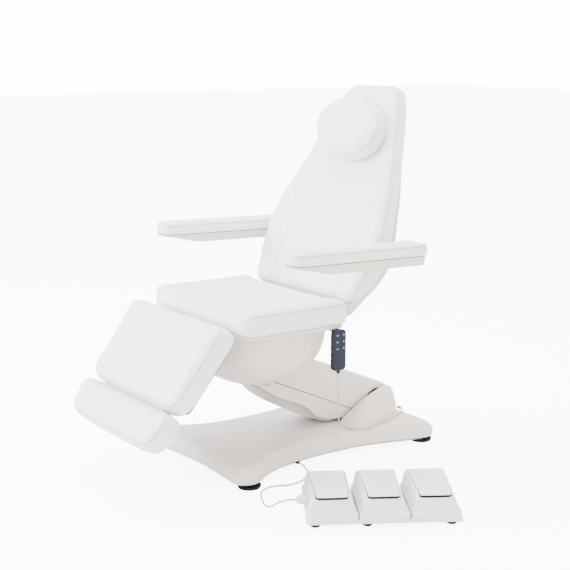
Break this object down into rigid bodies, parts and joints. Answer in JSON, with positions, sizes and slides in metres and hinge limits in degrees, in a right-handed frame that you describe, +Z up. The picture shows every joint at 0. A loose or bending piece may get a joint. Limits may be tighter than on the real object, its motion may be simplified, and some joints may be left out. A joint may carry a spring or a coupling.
{
  "type": "pedicure spa chair",
  "caption": "Powered pedicure chair: cushioned seat on an inclined lift arm and dog-bone base, reclining back with pillow, two-part leg rest, folding armrests, wired handset and floor pedals.",
  "frame": {"origin": "on the floor, under the middle of the base between its four feet", "axes": "+Z up; -Y the way the sitter faces; +X the sitter's left"},
  "size_m": [1.3807, 1.2573, 1.3288],
  "materials": {
    "cover": "satin warm light grey moulding",
    "belly": "dark grey moulding",
    "leather": "near-white leatherette over foam",
    "steel": "black powder coat",
    "bright": "ground bar",
    "rubber": "black",
    "handset_case": "dark blue-grey",
    "keys": "grey",
    "control_grey": "light neutral grey",
    "board": "plywood",
    "cord": "light grey PVC jacket"
  },
  "bodies": {
    "base": {"base_frame": "steel", "base_front_cover": "cover", "base_rear_cover": "cover", "foot_front_left": "rubber", "foot_front_right": "rubber", "foot_rear_left": "rubber", "foot_rear_right": "rubber", "lower_pivot_shaft": "bright", "lift_control_box": "control_grey", "mains_inlet": "rubber", "foot_control_gland": "rubber", "foot_control_case_left": "control_grey", "foot_control_case_middle": "control_grey", "foot_control_case_right": "control_grey", "foot_control_relief": "control_grey", "foot_control_cord": "cord", "handset_cord": "cord", "handset_cord_gland": "rubber"},
    "lift_arm": {"arm_top_cover": "cover", "arm_side_cover": "cover", "arm_belly_cover": "belly", "arm_frame": "steel", "upper_pivot_shaft": "bright"},
    "parallel_link": {"parallel_link": "steel"},
    "lift_actuator_body": {"lift_actuator_body": "steel"},
    "lift_actuator_rod": {"lift_actuator_rod": "bright"},
    "seat_platform": {"seat_frame": "steel", "seat_shroud": "cover", "seat_cushion": "leather", "seat_board": "board", "seat_lip": "cover", "backrest_hinge_shaft": "bright", "leg_hinge_shaft": "bright", "handset_holder": "rubber"},
    "backrest": {"backrest_cushion": "leather", "backrest_shell": "cover", "backrest_frame": "steel"},
    "head_pillow": {"head_pillow": "leather"},
    "armrest_left": {"armrest_cushion_left": "leather", "armrest_tray_left": "cover"},
    "armrest_right": {"armrest_cushion_right": "leather", "armrest_tray_right": "cover"},
    "leg_rest": {"calf_cushion": "leather", "calf_board": "steel"},
    "foot_rest": {"foot_cushion": "leather", "foot_board": "steel", "foot_rail_left": "bright", "foot_rail_right": "bright"},
    "handset": {"handset": "handset_case"},
    "button_lift_up": {"button_lift_up": "keys"},
    "button_lift_down": {"button_lift_down": "keys"},
    "button_back_up": {"button_back_up": "keys"},
    "button_back_down": {"button_back_down": "keys"},
    "button_leg_up": {"button_leg_up": "keys"},
    "button_leg_down": {"button_leg_down": "keys"},
    "foot_pedal_left": {"foot_pedal_left": "control_grey"},
    "foot_pedal_middle": {"foot_pedal_middle": "control_grey"},
    "foot_pedal_right": {"foot_pedal_right": "control_grey"}
  },
  "joints": [
    {"name": "lift", "type": "hinge", "parent": "base", "child": "lift_arm", "pos_m": [0, 0.33, 0.115], "axis": [-1, 0, 0], "range_deg": [0, 34]},
    {"name": "seat_level", "type": "hinge", "parent": "lift_arm", "child": "seat_platform", "pos_m": [0, -0.19312, 0.34137], "axis": [-1, 0, 0], "range_deg": [-34, 0]},
    {"name": "link_swing", "type": "hinge", "parent": "base", "child": "parallel_link", "pos_m": [0, 0.33, 0.063], "axis": [-1, 0, 0], "range_deg": [0, 34]},
    {"name": "actuator_swing", "type": "hinge", "parent": "base", "child": "lift_actuator_body", "pos_m": [0, 0.15, 0.048], "axis": [-1, 0, 0], "range_deg": [0, 39.3]},
    {"name": "actuator_extend", "type": "slide", "parent": "lift_actuator_body", "child": "lift_actuator_rod", "axis": [0, -0.8177, 0.5756], "range_m": [0, 0.107]},
    {"name": "backrest_recline", "type": "hinge", "parent": "seat_platform", "child": "backrest", "pos_m": [0, 0.045, 0.545], "axis": [-1, 0, 0], "range_deg": [-12, 60]},
    {"name": "pillow_height", "type": "slide", "parent": "backrest", "child": "head_pillow", "axis": [0, 0.4242, 0.9056], "range_m": [-0.06, 0.02]},
    {"name": "armrest_left_fold", "type": "hinge", "parent": "backrest", "child": "armrest_left", "pos_m": [0.402, 0.168, 0.746], "axis": [-1, 0, 0], "range_deg": [0, 80]},
    {"name": "armrest_right_fold", "type": "hinge", "parent": "backrest", "child": "armrest_right", "pos_m": [-0.402, 0.168, 0.746], "axis": [-1, 0, 0], "range_deg": [0, 80]},
    {"name": "leg_rest_raise", "type": "hinge", "parent": "seat_platform", "child": "leg_rest", "pos_m": [0, -0.455, 0.53], "axis": [-1, 0, 0], "range_deg": [-30, 50]},
    {"name": "foot_rest_extend", "type": "slide", "parent": "leg_rest", "child": "foot_rest", "axis": [0, -0.6198, -0.7848], "range_m": [0, 0.15]},
    {"name": "handset_lift_off", "type": "slide", "parent": "seat_platform", "child": "handset", "axis": [1, 0, 0], "range_m": [0, 0.03]},
    {"name": "button_lift_up_press", "type": "slide", "parent": "handset", "child": "button_lift_up", "axis": [-1, 0, 0], "range_m": [0, 0.0015], "stiffness_N_per_m": 300, "springref_m": -0.002},
    {"name": "button_lift_down_press", "type": "slide", "parent": "handset", "child": "button_lift_down", "axis": [-1, 0, 0], "range_m": [0, 0.0015], "stiffness_N_per_m": 300, "springref_m": -0.002},
    {"name": "button_back_up_press", "type": "slide", "parent": "handset", "child": "button_back_up", "axis": [-1, 0, 0], "range_m": [0, 0.0015], "stiffness_N_per_m": 300, "springref_m": -0.002},
    {"name": "button_back_down_press", "type": "slide", "parent": "handset", "child": "button_back_down", "axis": [-1, 0, 0], "range_m": [0, 0.0015], "stiffness_N_per_m": 300, "springref_m": -0.002},
    {"name": "button_leg_up_press", "type": "slide", "parent": "handset", "child": "button_leg_up", "axis": [-1, 0, 0], "range_m": [0, 0.0015], "stiffness_N_per_m": 300, "springref_m": -0.002},
    {"name": "button_leg_down_press", "type": "slide", "parent": "handset", "child": "button_leg_down", "axis": [-1, 0, 0], "range_m": [0, 0.0015], "stiffness_N_per_m": 300, "springref_m": -0.002},
    {"name": "pedal_left_press", "type": "hinge", "parent": "base", "child": "foot_pedal_left", "pos_m": [0.50738, -0.26085, 0.0895], "axis": [0.5505, 0.8348, 0], "range_deg": [0, 1.5], "stiffness_Nm_per_rad": 20, "springref_deg": -3.44},
    {"name": "pedal_middle_press", "type": "hinge", "parent": "base", "child": "foot_pedal_middle", "pos_m": [0.59821, -0.1231, 0.0895], "axis": [0.5505, 0.8348, 0], "range_deg": [0, 1.5], "stiffness_Nm_per_rad": 20, "springref_deg": -3.44},
    {"name": "pedal_right_press", "type": "hinge", "parent": "base", "child": "foot_pedal_right", "pos_m": [0.68904, 0.01465, 0.0895], "axis": [0.5505, 0.8348, 0], "range_deg": [0, 1.5], "stiffness_Nm_per_rad": 20, "springref_deg": -3.44}
  ],
  "couplings": [
    {"joint": "seat_level", "follows": "lift", "ratio": -1},
    {"joint": "link_swing", "follows": "lift", "ratio": 1},
    {"joint": "actuator_swing", "follows": "lift", "ratio": 1.154},
    {"joint": "actuator_extend", "follows": "lift", "m_per_rad": 0.17927}
  ]
}
